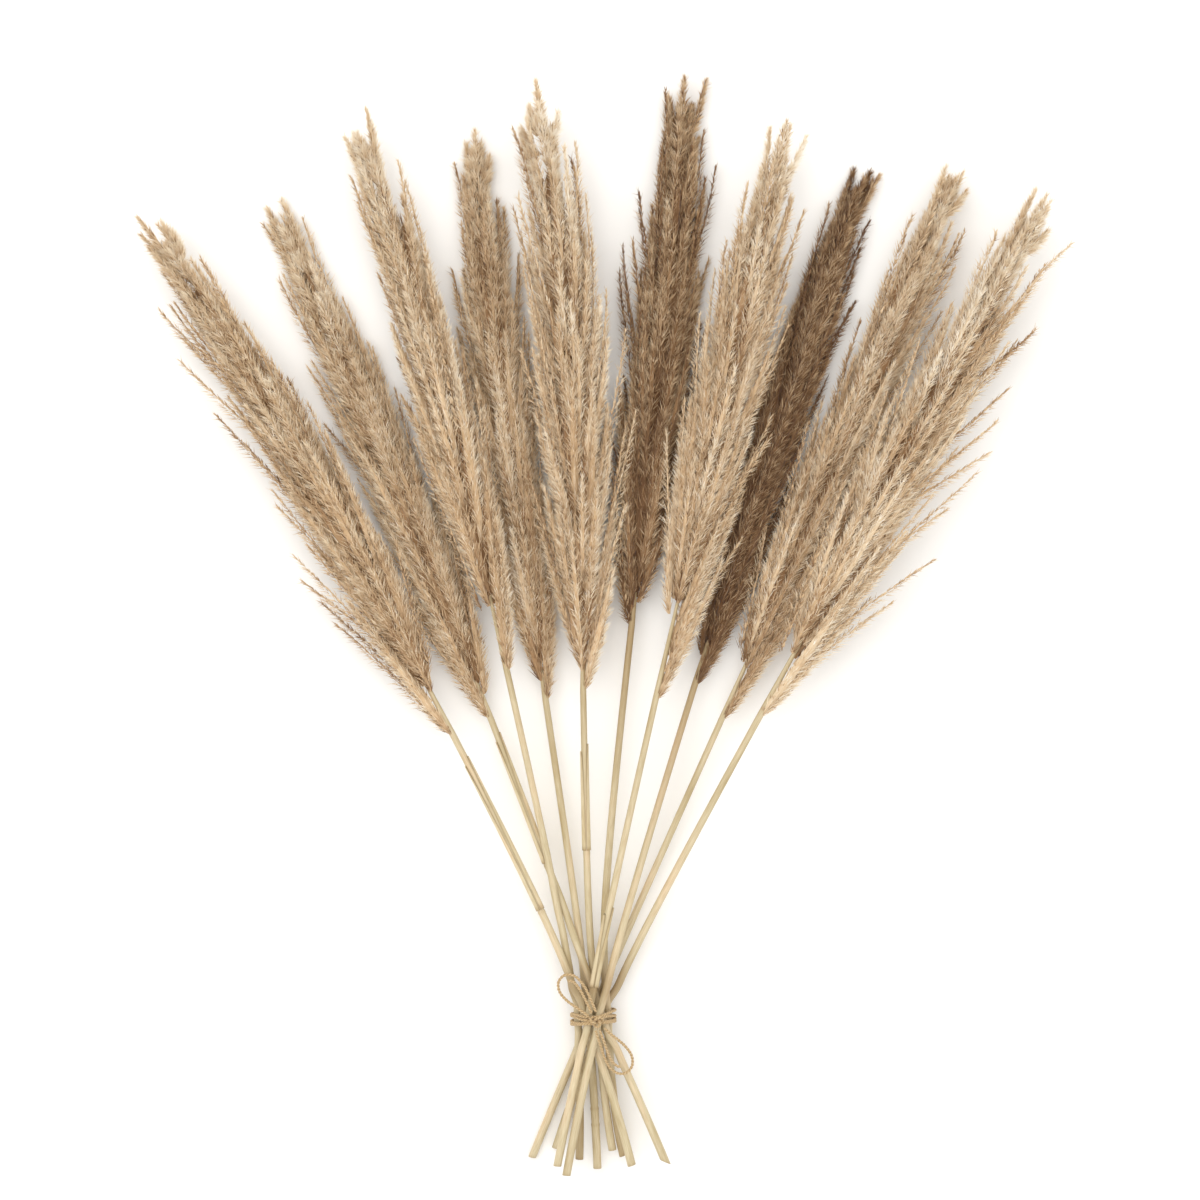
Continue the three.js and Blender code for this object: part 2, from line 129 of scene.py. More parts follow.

# Flower heads: the inside, a dark core that is painted shade, and brown inner branches
CORE_SHARE = 0.34  # of the plume's half sizes
# The core is painted shade: a dark solid deep in each plume that shows in the clefts between its branches
PAINTED_SHADE_CORE_TONE = 0.12  # of a plume whose tone is 0
CORE_ENDS = (10, 50)  # how far above the bare stem it starts and below the tip it stops
CORE_ROWS = 70
CORE_SIDES = 16
INNER_BRANCHES = 34
INNER_LENGTH = 48
INNER_RADIUS = 3.4
INNER_SPREAD = 0.6  # over the plume's half sizes
INNER_TONE = 0.3
INNER_CLEAR = 84  # no inner branch is rooted nearer to the tip
INNER_HAIRS = 90
INNER_HAIR_LENGTH = (6, 10)
INNER_HAIR_WIDTH = (0.6, 0.9)

# Flower heads: the loose branches beside the body
WISP_ROOTS = 0.74  # share of the plume that they are rooted on
WISP_LENGTH = (66, 104)
WISP_RADIUS = (1.6, 3.0)
WISP_TONE = 0.34
WISP_REACH = 3.4  # the most that one stands out, over the plume's half width
TWIG_WIDTH = 0.45
GRAINS = 60  # on each loose branch
GRAIN_LENGTH = (4.6, 7.6)
GRAIN_WIDTH = (1.2, 2.1)
WISP_HAIRS = 150
WISP_HAIR_WIDTH = (0.38, 0.58)

# The ten plumes, from left to right. spread is how far the branches reach over the modelled body, tone how
# light the plume is, which is its own colour and, for plumes 6 and 8 that lie low at the back of the bunch,
# also painted shade, wisps how many loose branches it has on its left and right (fewer where the stem is
# bare) and stand how many millimetres they may stand out there, and bare the side (-1 left, 1 right) and the
# length of stem that shows beside its lowest branches.
PLUMES = [
    dict(spread=0.98, tone=0.03, wisps=(18, 8), stand=(16, 5), bare=(1, 26)),
    dict(spread=0.98, tone=0.03, wisps=(13, 8), stand=(9, 5), bare=(1, 10)),
    dict(spread=1.00, tone=0.07, wisps=(9, 9), stand=(6, 6), bare=(-1, 30)),
    dict(spread=1.00, tone=0.02, wisps=(13, 9), stand=(6, 6), bare=(-1, 8)),
    dict(spread=1.00, tone=0.12, wisps=(12, 14), stand=(8, 11), bare=(-1, 6)),
    dict(spread=1.00, tone=-0.19, wisps=(14, 12), stand=(11, 8), bare=(1, 6)),
    dict(spread=1.02, tone=0.09, wisps=(9, 14), stand=(6, 9), bare=(-1, 44)),
    dict(spread=1.00, tone=-0.33, wisps=(9, 12), stand=(6, 8), bare=(-1, 14)),
    dict(spread=0.98, tone=0.03, wisps=(9, 11), stand=(5, 7), bare=(-1, 30)),
    dict(spread=1.00, tone=0.14, wisps=(7, 20), stand=(5, 21), bare=(-1, 34)),
]

# Stems
STEM_COLUMNS = 18
# The dish in a cut end, from its middle out: share of the radius, and how far up the stem in millimetres
CUT_ROWS = ((0.35, 0.6), (0.7, 0.35), (0.8, -0.05), (0.93, -0.15))
FOOT_JOINTS = {4: (24, 33)}  # distances of the joints that show on a foot, from its cut end
FOOT_STAIN = {3: 0.45, 6: 0.35, 4: 0.12, 8: 0.1}  # how brown a foot is
STAIN_LENGTH = 58  # how far up a foot it goes
NECK_STAIN = {6: 0.6, 8: 0.55, 5: 0.2, 4: 0.2}  # how brown a stem is below its plume
OTHER_NECKS = 0.1  # the same for the stems that aren't in the list
NECK_LENGTH = 75  # how far down a stem it goes
CUT_TONES = [0.1, 0.2, 0.5, 0.55]  # of the rows of the dish
SLANT_LENGTH = 9  # how far up a stem the slant of its cut is felt
STEM_INSIDE = 22  # how far a stem runs on inside its plume

# Leaf bases
SHEATH_COLUMNS = 26  # points round one face of the sleeve
SHEATH_FACES = (0.22, 0.52)  # distances of its inner and outer face from the stem
SHEATH_GAPE = (0.12, 0.75)  # half the angle of its split at the joint and at the mouth, in radians
SHEATH_LIFT = 0.35  # how far its edges stand up at the mouth
MOUTH_DEPTH = 5.0  # how far one side of the mouth is drawn back


# ---------------------------------------------------------------- arrays

def unit(vectors):
    """Each vector over its own length."""
    return vectors / np.maximum(np.linalg.norm(vectors, axis=-1, keepdims=True), 1e-12)


def mix(low, high, share):
    """A value between two others."""
    return low + (high - low) * share


def hermite(points, knots, at):
    """A smooth curve through the points: cubic pieces whose slopes at each point are those of the parabola
    through it and its two neighbours."""
    steps = np.diff(knots)[:, None]
    chords = np.diff(points, axis=0) / steps
    slopes = np.empty_like(points)
    slopes[1:-1] = (chords[:-1] * steps[1:] + chords[1:] * steps[:-1]) / (steps[1:] + steps[:-1])
    slopes[0] = 2 * chords[0] - slopes[1]
    slopes[-1] = 2 * chords[-1] - slopes[-2]
    i = np.clip(np.searchsorted(knots, at, side="right") - 1, 0, len(knots) - 2)
    h = (knots[i + 1] - knots[i])[:, None]
    t = (at - knots[i])[:, None] / h
    return (
        (2 * t**3 - 3 * t**2 + 1) * points[i]
        + (t**3 - 2 * t**2 + t) * h * slopes[i]
        + (3 * t**2 - 2 * t**3) * points[i + 1]
        + (t**3 - t**2) * h * slopes[i + 1]
    )


def arc_lengths(points):
    """Distance along a line of points, from its first point."""
    return np.concatenate([[0.0], np.cumsum(np.linalg.norm(np.diff(points, axis=0), axis=1))])


def smooth_path(points, spacing):
    """A smooth curve through the points, in steps of about the spacing, with knots at the square roots of the
    distances between points, so that uneven points give no overshoot."""
    points = np.asarray(points, float)
    knots = np.concatenate([[0.0], np.cumsum(np.linalg.norm(np.diff(points, axis=0), axis=1) ** 0.5)])
    fine = hermite(points, knots, np.linspace(0, knots[-1], 40 * len(points)))
    along = arc_lengths(fine)
    even = np.linspace(0, along[-1], max(3, round(along[-1] / spacing) + 1))
    return np.stack([np.interp(even, along, fine[:, axis]) for axis in range(3)], axis=1)


def frames(path, reference=UP):
    """Tangent, across and above for each point of a path: across lies square to the reference direction."""
    tangent = unit(np.gradient(path, axis=0))
    across = unit(np.cross(tangent, reference))
    return tangent, across, np.cross(across, tangent)


# ---------------------------------------------------------------- meshes

def solid_from_grid(grid):
    """Triangles of a closed solid whose surface is a grid of points, rows along it and columns round it, with
    a pole at the middle of the first and the last row. Returns vertices, faces and each face corner's
    place on the grid (column share, row)."""
    rows, columns = grid.shape[:2]
    vertices = np.concatenate([grid.reshape(-1, 3), [grid[0].mean(0)], [grid[-1].mean(0)]])
    row, column = np.meshgrid(np.arange(rows - 1), np.arange(columns), indexing="ij")
    row, column = row.ravel(), column.ravel()
    after = (column + 1) % columns
    a, b = row * columns + column, row * columns + after
    c, d = (row + 1) * columns + after, (row + 1) * columns + column
    around = np.arange(columns)
    turned = (around + 1) % columns
    first, last = rows * columns, rows * columns + 1
    base = (rows - 1) * columns
    faces = np.concatenate([
        np.stack([a, d, c], 1), np.stack([a, c, b], 1),
        np.stack([np.full(columns, first), around, turned], 1),
        np.stack([np.full(columns, last), base + turned, base + around], 1),
    ])
    u, v = column / columns, row
    w = (column + 1) / columns
    ring, zero = around / columns, np.zeros(columns)
    ring_after, top = (around + 1) / columns, np.full(columns, rows - 1)
    corners = np.concatenate([
        np.stack([np.stack([u, v], 1), np.stack([u, v + 1], 1), np.stack([w, v + 1], 1)], 1),
        np.stack([np.stack([u, v], 1), np.stack([w, v + 1], 1), np.stack([w, v], 1)], 1),
        np.stack([np.stack([ring, zero], 1), np.stack([ring, zero], 1), np.stack([ring_after, zero], 1)], 1),
        np.stack([np.stack([ring, top], 1), np.stack([ring_after, top], 1), np.stack([ring, top], 1)], 1),
    ])
    centre = vertices.mean(0)
    p, q, r = (vertices[faces[:, corner]] - centre for corner in range(3))
    if np.einsum("ij,ij->i", p, np.cross(q, r)).sum() < 0:
        faces, corners = faces[:, ::-1], corners[:, ::-1]
    return vertices, faces, corners


def slivers(roots, directions, sides, lengths, widths, thickness, belly, tones):
    """Many thin husks: each is a three-sided double pyramid from its root along its direction, widest at the
    belly share of its length and flattened across its side vector. tones gives the root's, belly's and
    tip's tone. Returns vertices, faces and the tone of each vertex."""
    count = len(roots)
    d = unit(directions)
    side = unit(sides - d * np.einsum("ij,ij->i", sides, d)[:, None])
    flat = np.cross(d, side)
    middle = roots + d * (lengths * belly)[:, None]
    angles = 2 * math.pi * np.arange(3) / 3
    ring = (
        middle[:, None]
        + np.cos(angles)[None, :, None] * side[:, None] * (widths / 2)[:, None, None]
        + np.sin(angles)[None, :, None] * flat[:, None] * (thickness / 2)[:, None, None]
    )
    tips = roots + d * lengths[:, None]
    vertices = np.concatenate([roots[:, None], ring, tips[:, None]], axis=1).reshape(-1, 3)
    pattern = np.array([[0, 2, 1], [0, 3, 2], [0, 1, 3], [4, 1, 2], [4, 2, 3], [4, 3, 1]])
    faces = (pattern[None] + 5 * np.arange(count)[:, None, None]).reshape(-1, 3)
    low, mid, high = tones
    tone = np.stack([low, mid, mid, mid, high], axis=1).ravel()
    return vertices, faces, tone


def spikes(roots, directions, lengths, widths, tones):
    """Many fine hairs: each is a slim spike with three sides, widest at its root, along its direction. tones
    gives the root's and the tip's tone. Returns vertices, faces and the tone of each vertex."""
    count = len(roots)
    d = unit(directions)
    side = unit(np.cross(d, UP))
    flat = np.cross(d, side)
    turn = 2 * math.pi * np.arange(3) / 3
    ring = (
        side[:, None] * np.cos(turn)[None, :, None] + flat[:, None] * np.sin(turn)[None, :, None]
    ) * (widths / 2)[:, None, None]
    tips = roots + d * lengths[:, None]
    vertices = np.concatenate([roots[:, None] + ring, tips[:, None]], axis=1).reshape(-1, 3)
    pattern = np.array([[0, 2, 1], [0, 1, 3], [1, 2, 3], [2, 0, 3]])
    faces = (pattern[None] + 4 * np.arange(count)[:, None, None]).reshape(-1, 3)
    low, high = tones
    return vertices, faces, np.stack([low, low, low, high], axis=1).ravel()


def keep_off_floor(vertices, rng):
    """Points that would reach the floor lie just over it instead."""
    low = vertices[:, 2] < FLOOR_GAP
    vertices[low, 2] = FLOOR_GAP + rng.uniform(0, 0.6 * MM, low.sum())
    return vertices


def joined(parts):
    """Several (vertices, faces, tone) as one."""
    starts = np.cumsum([0] + [len(part[0]) for part in parts[:-1]])
    return (
        np.concatenate([part[0] for part in parts]),
        np.concatenate([part[1] + start for part, start in zip(parts, starts)]),
        np.concatenate([part[2] for part in parts]),
    )


def add_piece(name, vertices, faces, material, node, tone, corners=None, smooth=True):
    """A mesh object at the origin that rides with the bunch and stands for its modelled node."""
    mesh = bpy.data.meshes.new(name)
    mesh.vertices.add(len(vertices))
    mesh.vertices.foreach_set("co", vertices.astype(np.float32).ravel())
    mesh.loops.add(faces.size)
    mesh.loops.foreach_set("vertex_index", np.ascontiguousarray(faces, np.int32).ravel())
    mesh.polygons.add(len(faces))
    mesh.polygons.foreach_set("loop_start", np.arange(0, faces.size, 3, dtype=np.int32))
    mesh.update(calc_edges=True)
    mesh.polygons.foreach_set("use_smooth", np.full(len(faces), smooth))
    tones = mesh.attributes.new("tone", "FLOAT", "POINT")
    tones.data.foreach_set("value", tone.astype(np.float32))
    if corners is not None:
        places = mesh.uv_layers.new(name="along")
        places.data.foreach_set("uv", np.ascontiguousarray(corners, np.float32).ravel())
    mesh.materials.append(material)
    piece = bpy.data.objects.new(name, mesh)
    bpy.context.scene.collection.objects.link(piece)
    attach(piece, "root")
    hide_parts(node)
    return piece


# ---------------------------------------------------------------- materials

def colour(code):
    """An sRGB hex value as linear red, green, blue and alpha."""
    parts = np.array([int(code[i:i + 2], 16) for i in (1, 3, 5)]) / 255
    linear = np.where(parts <= 0.04045, parts / 12.92, ((parts + 0.055) / 1.055) ** 2.4)
    return (*linear.tolist(), 1.0)


def add_node(tree, kind, inputs=None, **settings):
    """A node of a material with its settings, and its inputs set to a value or linked to a socket."""
    node = tree.nodes.new(kind)
    for key, value in settings.items():
        setattr(node, key, value)
    for key, value in (inputs or {}).items():
        if isinstance(value, bpy.types.NodeSocket):
            tree.links.new(value, node.inputs[key])
        else:
            node.inputs[key].default_value = value
    return node


def add_ramp(tree, fac, stops):
    """A colour ramp through (place, hex colour) stops."""
    node = add_node(tree, "ShaderNodeValToRGB", {"Fac": fac})
    elements = node.color_ramp.elements
    for element, (place, code) in zip(elements, (stops[0], stops[-1])):
        element.position = place
        element.color = colour(code)
    for place, code in stops[1:-1]:
        elements.new(place).color = colour(code)
    return node.outputs["Color"]


def start_material(name):
    """An empty material and its tree, with the shader and the output joined."""
    material = bpy.data.materials.new(name)
    material.use_nodes = True
    tree = material.node_tree
    tree.nodes.clear()
    shader = add_node(tree, "ShaderNodeBsdfPrincipled")
    add_node(tree, "ShaderNodeOutputMaterial", {"Surface": shader.outputs["BSDF"]})
    return material, tree, shader


def husk_material():
    """Dry reed husks and silk, grown: matt, dull tan, brown where they are rooted and pale at the tips. The
    tone of each husk is on the mesh, and a slow drift makes some tufts warmer than others."""
    material, tree, shader = start_material("dry_reed_husk_and_silk")
    # The tone on the mesh also holds painted shade: the dark core, the darker sides of the branches, the dark
    # husks in the clefts and the low tone of plumes 6 and 8
    tone = add_node(tree, "ShaderNodeAttribute", attribute_name="tone").outputs["Fac"]
    place = add_node(tree, "ShaderNodeTexCoord").outputs["Object"]
    drift = add_node(tree, "ShaderNodeTexNoise", {"Vector": place, "Scale": 1 / (14 * MM), "Detail": 2.0})
    moved = add_node(tree, "ShaderNodeMapRange", {
        "Value": drift.outputs["Fac"], "From Min": 0.3, "From Max": 0.7, "To Min": -0.06, "To Max": 0.06})
    level = add_node(tree, "ShaderNodeMath", {0: tone, 1: moved.outputs["Result"]}, operation="ADD")
    base = add_ramp(tree, level.outputs["Value"], [
        (0.0, "#5e3e22"), (0.25, "#93704c"), (0.5, "#d0b28b"), (0.75, "#ead8ba"), (1.0, "#fbf3e4")])
    tree.links.new(base, shader.inputs["Base Color"])
    shader.inputs["Roughness"].default_value = 0.8
    shader.inputs["Specular IOR Level"].default_value = 0.25
    shader.inputs["Sheen Weight"].default_value = 0.25
    shader.inputs["Sheen Roughness"].default_value = 0.5
    return material


def straw_material(name, pale, deep, blush):
    """Dried reed, as it grew: a smooth waxy rind with fine ribs along it and slow blotches. The map runs
    round the stem (0 to 1) and along it in metres."""
    material, tree, shader = start_material(name)
    uv = add_node(tree, "ShaderNodeUVMap", uv_map="along").outputs["UV"]
    blotch_scale = add_node(tree, "ShaderNodeMapping", {"Vector": uv, "Scale": (1.5, 1 / (60 * MM), 1)})
    blotch = add_node(tree, "ShaderNodeTexNoise", {
        "Vector": blotch_scale.outputs["Vector"], "Scale": 1.0, "Detail": 4.0, "Roughness": 0.6})
    rib_scale = add_node(tree, "ShaderNodeMapping", {"Vector": uv, "Scale": (26, 1 / (9 * MM), 1)})
    rib = add_node(tree, "ShaderNodeTexNoise", {
        "Vector": rib_scale.outputs["Vector"], "Scale": 1.0, "Detail": 2.0})
    body = add_ramp(tree, blotch.outputs["Fac"], [(0.3, deep), (0.5, pale), (0.72, blush)])
    lines = add_ramp(tree, rib.outputs["Fac"], [(0.3, "#c9b99a"), (0.62, "#ffffff")])
    ribbed = add_node(tree, "ShaderNodeMix", {
        0: 0.45, 6: body, 7: lines}, data_type="RGBA", blend_type="MULTIPLY")
    # The tone darkens towards brown: the stems' own stains, joints and cut ends, and painted shade just above
    # the tie and along the split of each leaf base
    tone = add_node(tree, "ShaderNodeAttribute", attribute_name="tone").outputs["Fac"]
    shaded = add_node(tree, "ShaderNodeMix", {
        0: tone, 6: ribbed.outputs[2], 7: colour("#8a6a3a")}, data_type="RGBA")
    bump = add_node(tree, "ShaderNodeBump", {
        "Height": rib.outputs["Fac"], "Strength": 0.35, "Distance": 0.12 * MM})
    tree.links.new(shaded.outputs[2], shader.inputs["Base Color"])
    tree.links.new(bump.outputs["Normal"], shader.inputs["Normal"])
    shader.inputs["Roughness"].default_value = 0.5
    shader.inputs["Specular IOR Level"].default_value = 0.4
    return material


def jute_material():
    """Jute yarn, spun and plied: coarse matt fibres, darker in the grooves between the plies, which is
    painted shade. The map runs round the twine (0 to 1) and along it in metres."""
    material, tree, shader = start_material("plied_jute_yarn")
    uv = add_node(tree, "ShaderNodeUVMap", uv_map="along").outputs["UV"]
    fibre_scale = add_node(tree, "ShaderNodeMapping", {"Vector": uv, "Scale": (9, 1 / (0.9 * MM), 1)})
    fibre = add_node(tree, "ShaderNodeTexNoise", {
        "Vector": fibre_scale.outputs["Vector"], "Scale": 1.0, "Detail": 3.0})
    tone = add_node(tree, "ShaderNodeAttribute", attribute_name="tone").outputs["Fac"]
    varied = add_node(tree, "ShaderNodeMapRange", {
        "Value": fibre.outputs["Fac"], "From Min": 0.25, "From Max": 0.75, "To Min": -0.28, "To Max": 0.28})
    level = add_node(tree, "ShaderNodeMath", {0: tone, 1: varied.outputs["Result"]}, operation="ADD")
    base = add_ramp(tree, level.outputs["Value"], [
        (0.0, "#6b5030"), (0.4, "#a3865c"), (0.7, "#c5a97e"), (1.0, "#e4d3b2")])
    bump = add_node(tree, "ShaderNodeBump", {
        "Height": fibre.outputs["Fac"], "Strength": 0.6, "Distance": 0.15 * MM})
    tree.links.new(base, shader.inputs["Base Color"])
    tree.links.new(bump.outputs["Normal"], shader.inputs["Normal"])
    shader.inputs["Roughness"].default_value = 0.9
    shader.inputs["Sheen Weight"].default_value = 0.2
    return material


def floor_material():
    """Matt white paper, even and pale."""
    material, tree, shader = start_material("paper_sweep")
    shader.inputs["Base Color"].default_value = colour("#f7f5f1")
    shader.inputs["Roughness"].default_value = 0.95
    shader.inputs["Specular IOR Level"].default_value = 0.1
    return material


# ---------------------------------------------------------------- what the modelled stalks say

def node_points(name):
    """The different vertices of a modelled node."""
    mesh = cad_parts[name].data
    flat = np.empty(3 * len(mesh.vertices))
    mesh.vertices.foreach_get("co", flat)
    return np.unique(flat.reshape(-1, 3).round(6), axis=0)


def node_rings(name, sides):
    """The rings of a modelled stem or plume, in order from the cut end: its vertices sorted along the line
    from one end to the other, in groups of one ring each."""
    points = node_points(name)
    low, high = points[points[:, 1].argmin()], points[points[:, 1].argmax()]
    order = np.argsort((points - low) @ unit(high - low))
    return points[order][: len(points) // sides * sides].reshape(-1, sides, 3)


def ring_sizes(rings):
    """Middle, half width and half height of each ring."""
    middles = rings.mean(1)
    _, across, above = frames(middles)
    away = rings - middles[:, None]
    wide = np.abs(np.einsum("rsk,rk->rs", away, across)).max(1)
    high = np.abs(np.einsum("rsk,rk->rs", away, above)).max(1)
    return middles, wide, high


# ---------------------------------------------------------------- stems and sheaths

def bump_at(along, place, width):
    """A bell curve of height 1 at a place."""
    return np.exp(-(((along - place) / width) ** 2))


def cut_end(grid, middle, tangent):
    """The rows that close a stem's foot: a rounded rim and a dish, as the pith shrinks behind the rind. Each
    is the cut's own outline drawn towards its middle and moved along the stem."""
    rows = [middle + (grid[0] - middle) * share + tangent * depth * MM for share, depth in CUT_ROWS]
    return np.concatenate([np.array(rows), grid])


def make_stem(number, material):
    """A culm: a round tube along the modelled stem's middle line and on into its flower head, to STEM_INSIDE
    past the place where the head's lowest branches close round it. Its radius narrows evenly, swells by a
    twelfth at each joint and pinches just above it. The cut end is dished and slants as the modelled one."""
    node = f"stem_{number:02d}"
    rng = np.random.default_rng(100 + number)
    rings = node_rings(node, STEM_SIDES)
    middles, wide, _ = ring_sizes(rings)
    plume = Plume(number)
    inside = plume.path[plume.along < (PLUMES[number - 1]["bare"][1] + STEM_INSIDE) * MM]
    path = smooth_path(np.concatenate([middles, inside[6::12]]), 1.5 * MM)
    along = arc_lengths(path)
    neck = np.interp(middles[-1, 1], path[:, 1], along)
    tangent, across, above = frames(path)
    joints = [place * MM for place in FOOT_JOINTS.get(number, ())]
    sheath = f"leaf_sheath_{number:02d}"
    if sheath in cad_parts:
        joints.append(np.interp(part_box(sheath)[0][1], path[:, 1], along) - 1.0 * MM)
    swell = sum((bump_at(along, joint, 0.9 * MM) for joint in joints), np.zeros(len(path)))
    pinch = sum((bump_at(along, joint + 1.6 * MM, 0.8 * MM) for joint in joints), np.zeros(len(path)))
    radius = np.interp(along, [0, neck, along[-1]], [wide[1], wide[-2], wide[-2] / 2])
    radius *= 1 + swell / 12 - pinch / 20
    angle = 2 * math.pi * np.arange(STEM_COLUMNS) / STEM_COLUMNS
    oval = 1 + 0.03 * np.cos(2 * angle + rng.uniform(0, 6))
    ring = across[:, None] * np.cos(angle)[None, :, None] + above[:, None] * np.sin(angle)[None, :, None]
    grid = path[:, None] + ring * (radius[:, None] * oval)[..., None]
    slant = (rings[0] - middles[0]) @ tangent[0]
    side = np.sign((rings[0][slant.argmax()] - middles[0]) @ across[0])
    lean = side * np.abs(slant).max() * np.clip(1 - along / (SLANT_LENGTH * MM), 0, 1)
    grid += tangent[:, None] * (lean[:, None] * np.cos(angle))[..., None]
    grid = cut_end(grid, path[0], tangent[0])
    vertices, faces, corners = solid_from_grid(grid)
    added = len(CUT_ROWS)
    distance = np.concatenate([np.zeros(added), along]) + 0.7 * number
    corners = np.stack([corners[..., 0], distance[corners[..., 1].astype(int)]], axis=-1)
    stain = FOOT_STAIN.get(number, 0.0) * np.exp(-((along / (STAIN_LENGTH * MM)) ** 4))
    # Painted shade: every stem is darkened just above the tie, where the stems crowd together
    painted_shade_above_tie = 0.5 * bump_at(path[:, 1], knot_middle()[1] + 18 * MM, 12 * MM)
    upper = NECK_STAIN.get(number, OTHER_NECKS) * bump_at(np.minimum(along, neck), neck, NECK_LENGTH * MM)
    shade = np.maximum.reduce([stain, upper, painted_shade_above_tie]) + 0.15 * swell + 0.25 * bump_at(along, 0, 1.2 * MM)
    shade = np.concatenate([CUT_TONES, shade + 0.05])
    tone = np.concatenate([np.repeat(shade, STEM_COLUMNS), [0.7, 0.0]])
    add_piece(f"reed_culm_{number:02d}", vertices, faces, material, node, tone, corners)


def make_sheath(number, material):
    """A leaf base round its stem: a thin sleeve, split along the top. The split is narrow at the joint and
    opens to the mouth, which rises to a point on one side. Its wall is a grid on the outer face that goes
    back along the inner one."""
    node = f"leaf_sheath_{number:02d}"
    low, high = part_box(node)
    middles, wide, _ = ring_sizes(node_rings(f"stem_{number:02d}", STEM_SIDES))
    path = smooth_path(middles, 0.8 * MM)
    path = path[(path[:, 1] > low[1]) & (path[:, 1] < high[1])]
    share = np.linspace(0, 1, len(path))
    tangent, across, above = frames(path)
    stem = np.interp(path[:, 1], middles[:, 1], wide)
    gape = mix(*SHEATH_GAPE, share**2.2)
    turn = np.linspace(0, 1, SHEATH_COLUMNS)
    angle = math.pi / 2 + gape[:, None] + (2 * math.pi - 2 * gape[:, None]) * turn[None]
    edge = np.minimum(turn, 1 - turn)
    lift = SHEATH_LIFT * MM * share[:, None] ** 3 * np.exp(-edge[None] / 0.08)
    ring = across[:, None] * np.cos(angle)[..., None] + above[:, None] * np.sin(angle)[..., None]
    # The mouth is a slanted cut: the far rows are drawn back more on one side than on the other
    back = MOUTH_DEPTH * MM * (share[:, None] ** 12) * (0.5 + 0.5 * np.cos(math.pi * turn))[None]
    back = tangent[:, None] * back[..., None]
    inner, outer = (
        path[:, None] + ring * (stem[:, None] + face * MM + lift)[..., None] - back
        for face in SHEATH_FACES
    )
    grid = np.concatenate([outer, inner[:, ::-1]], axis=1)
    vertices, faces, corners = solid_from_grid(grid)
    distance = arc_lengths(path)
    corners = np.stack([corners[..., 0], distance[corners[..., 1].astype(int)] + number], axis=-1)
    # Painted shade: the edges of the split are darkened, more towards the mouth, for the shade in the gap
    rim = np.exp(-edge / 0.035)[None] * (0.35 + 0.65 * share)[:, None]
    shade = 0.5 * bump_at(share, 0, 0.03)[:, None] + 0.65 * rim
    shade = np.concatenate([shade, shade[:, ::-1]], axis=1)
    tone = np.concatenate([shade.ravel(), [0.3, 0.3]])
    add_piece(f"leaf_base_{number:02d}", vertices, faces, material, node, tone, corners)


# ---------------------------------------------------------------- plumes

class Plume:
    """The space of one plume: its middle line and half sizes, and the place of any point in it. Past its
    middle it is no narrower than TIP_SHARE of its widest place, so that it doesn't run to a point."""

    def __init__(self, number):
        middles, wide, high = ring_sizes(node_rings(f"plume_{number:02d}", PLUME_SIDES))
        self.path = smooth_path(middles, 1.0 * MM)
        self.along = arc_lengths(self.path)
        self.length = self.along[-1]
        at = np.interp(self.path[:, 1], middles[:, 1], np.arange(len(middles)))
        self.wide = np.interp(at, np.arange(len(wide)), wide)
        self.high = np.interp(at, np.arange(len(high)), high)
        blunt = np.where(self.along > self.length / 2, TIP_SHARE, 0)
        self.wide = np.maximum(self.wide, blunt * self.wide.max())
        self.high = np.maximum(self.high, blunt * self.high.max())
        self.tangent, self.across, self.above = frames(self.path)

    def sample(self, table, s):
        """A table's value at distances along the middle line."""
        table = table[:, None] if table.ndim == 1 else table
        columns = [np.interp(s, self.along, table[:, k]) for k in range(table.shape[1])]
        return np.stack(columns, axis=-1)

    def place(self, s, r, angle):
        """The point at a distance s along the line, at r times the half sizes from it, in the direction of an
        angle that is 0 on the right and a quarter turn on top. Beyond the tip the line goes on straight."""
        over = np.maximum(s - self.length, 0)
        centre = self.sample(self.path, s) + self.sample(self.tangent, s) * over[..., None]
        wide, high = self.sample(self.wide, s)[..., 0], self.sample(self.high, s)[..., 0]
        return (
            centre
            + self.sample(self.across, s) * (r * wide * np.cos(angle))[..., None]
            + self.sample(self.above, s) * (r * high * np.sin(angle))[..., None]
        )

    def bared(self, look, s, angle):
        """True where the stem shows beside the lowest branches."""
        side, reach = look["bare"]
        return (s < reach * MM) & (side * np.cos(angle) > -0.5)


class Branches:
    """Many side branches of one plume as lines of points, and the directions along them, sideways and out."""

    def __init__(self, plume, s, angle, near, far, length, bow, rng):
        """Each line starts at its distance s and goes on for its length. Its place over the half sizes goes
        from near to far as the share of the way to the power bow, and its angle turns a little."""
        u = np.linspace(0, 1, BRANCH_STEPS)[None]
        twist = rng.normal(0, 0.1, len(s))[:, None]
        r = near + (far[:, None] - near) * u**bow
        self.lines = plume.place(s[:, None] + length[:, None] * u, r, angle[:, None] + twist * u)
        self.count = len(s)
        self.length = length
        middle = plume.sample(plume.path, s + length / 2)
        radial = unit(self.lines[:, BRANCH_STEPS // 2] - middle)[:, None]
        self.along = unit(np.gradient(self.lines, axis=1))
        self.side = unit(np.cross(self.along, radial))
        self.out = np.cross(self.side, self.along)

    def at(self, table, u):
        """A table's value at shares u of the way along each branch, one row of shares for each branch."""
        step = np.minimum((u * (BRANCH_STEPS - 1)).astype(int), BRANCH_STEPS - 2)
        share = (u * (BRANCH_STEPS - 1) - step)[..., None]
        row = np.arange(self.count)[:, None]
        return mix(table[row, step], table[row, step + 1], share)

    def spread_shares(self, number, rng):
        """Shares spread evenly along each branch, each moved at random within its own stretch."""
        return (np.arange(number)[None] + rng.random((self.count, number))) / number


def branch_profile(u):
    """A branch's radius over its largest: it swells fast from the root, is fullest a little over a third of
    the way and runs to a point, as half a sine wave over the share of the way to the power three
    quarters."""
    return np.sin(math.pi * (0.06 + 0.93 * u) ** 0.75)


def flat_rows(*tables):
    """Tables of one row for each branch as tables of one row for each hair."""
    return [table.reshape(-1, *table.shape[2:]) for table in tables]


